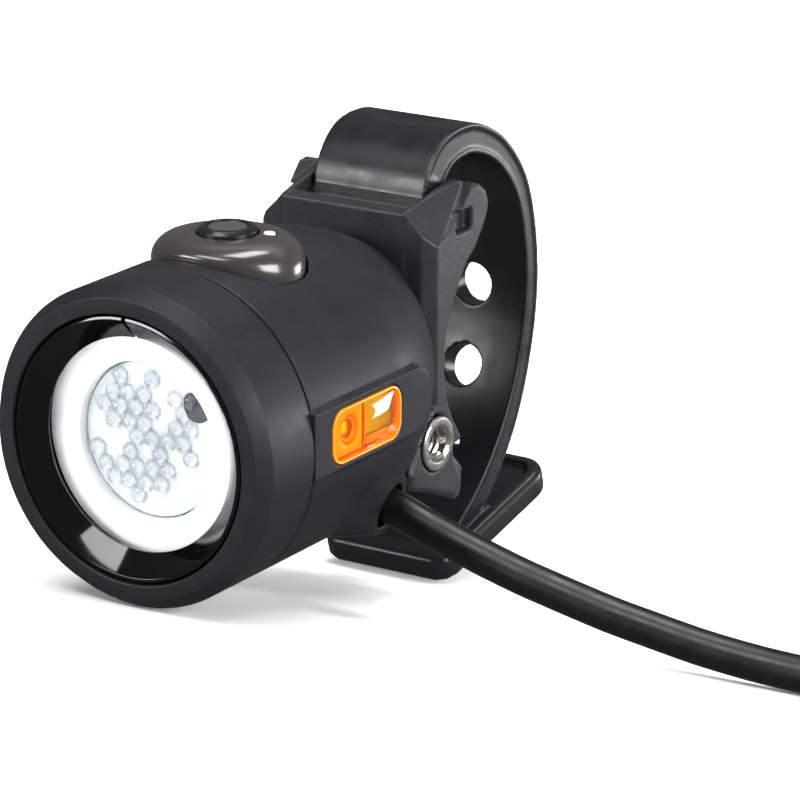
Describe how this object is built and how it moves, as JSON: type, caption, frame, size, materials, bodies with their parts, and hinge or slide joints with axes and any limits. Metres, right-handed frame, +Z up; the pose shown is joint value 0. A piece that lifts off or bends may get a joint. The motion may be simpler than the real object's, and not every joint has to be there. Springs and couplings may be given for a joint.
{
  "type": "corded lamp head",
  "caption": "Round corded lamp head with amber side windows, a top push button under a smoke cover, a strap cradle for a bar and a lead that ends in a barrel plug.",
  "frame": {"origin": "on the bench, under the middle of the lamp head as it lies on the bezel's lower edge and the strap tab's toe; the lead and what is on it are left out", "axes": "+Y runs back from the lens to the strap, level; +Z is up; +X is the side the lead leaves from"},
  "size_m": [0.1644, 0.12, 0.0664],
  "materials": {
    "black_shell": "fine moulded texture",
    "black_nylon": "glass-filled, slightly rough",
    "strap_rubber": "satin",
    "saddle_rubber": "matt",
    "button_rubber": "satin",
    "seal_rubber": "matt",
    "cable_jacket": "satin",
    "gloss_black": "polished",
    "clear_lens": "clear",
    "clear_optic": "pebbled front",
    "white_holder": "satin white",
    "amber": "clear amber",
    "smoke": "smoke-grey, polished",
    "stainless_steel": "plain",
    "nickel": "nickel plate over brass",
    "aluminium": "as cast",
    "circuit_board": "solder mask",
    "led_board": "white solder mask",
    "led": "yellow phosphor under clear resin",
    "tie_webbing": "woven hook and loop"
  },
  "bodies": {
    "lamp": {"bezel": "black_shell", "lens_retaining_ring": "gloss_black", "front_lens": "clear_lens", "lens_gasket": "seal_rubber", "optic_holder": "white_holder", "optic": "clear_optic", "main_led": "led", "led_board": "led_board", "heat_sink": "aluminium", "driver_board": "circuit_board", "body_shell": "black_shell", "body_seal": "seal_rubber", "side_window_left": "amber", "side_window_right": "amber", "side_led_board_left": "led_board", "side_led_board_right": "led_board", "button_cover": "smoke", "tact_switch": "gloss_black", "switch_board": "circuit_board", "status_light": "clear_optic", "cradle_bracket": "black_nylon", "strap_pin": "stainless_steel", "bar_saddle": "saddle_rubber", "bracket_screw_upper": "stainless_steel", "bracket_screw_lower": "stainless_steel", "threaded_insert_left": "nickel", "threaded_insert_right": "nickel", "cable_gland": "seal_rubber", "cable": "cable_jacket", "cable_coil": "cable_jacket", "cable_tie": "tie_webbing", "connector_plug": "cable_jacket", "connector_barrel": "nickel"},
    "button": {"power_button": "button_rubber"},
    "strap": {"strap": "strap_rubber"}
  },
  "joints": [
    {"name": "button_press", "type": "slide", "parent": "lamp", "child": "button", "axis": [0, 0.2227, -0.9749], "range_m": [0, 0.0006], "stiffness_N_per_m": 500},
    {"name": "strap_swing", "type": "hinge", "parent": "lamp", "child": "strap", "pos_m": [0, 0.00986, 0.05332], "axis": [1, 0, 0], "range_deg": [0, 45], "stiffness_Nm_per_rad": 0.4, "springref_deg": -17.19}
  ]
}
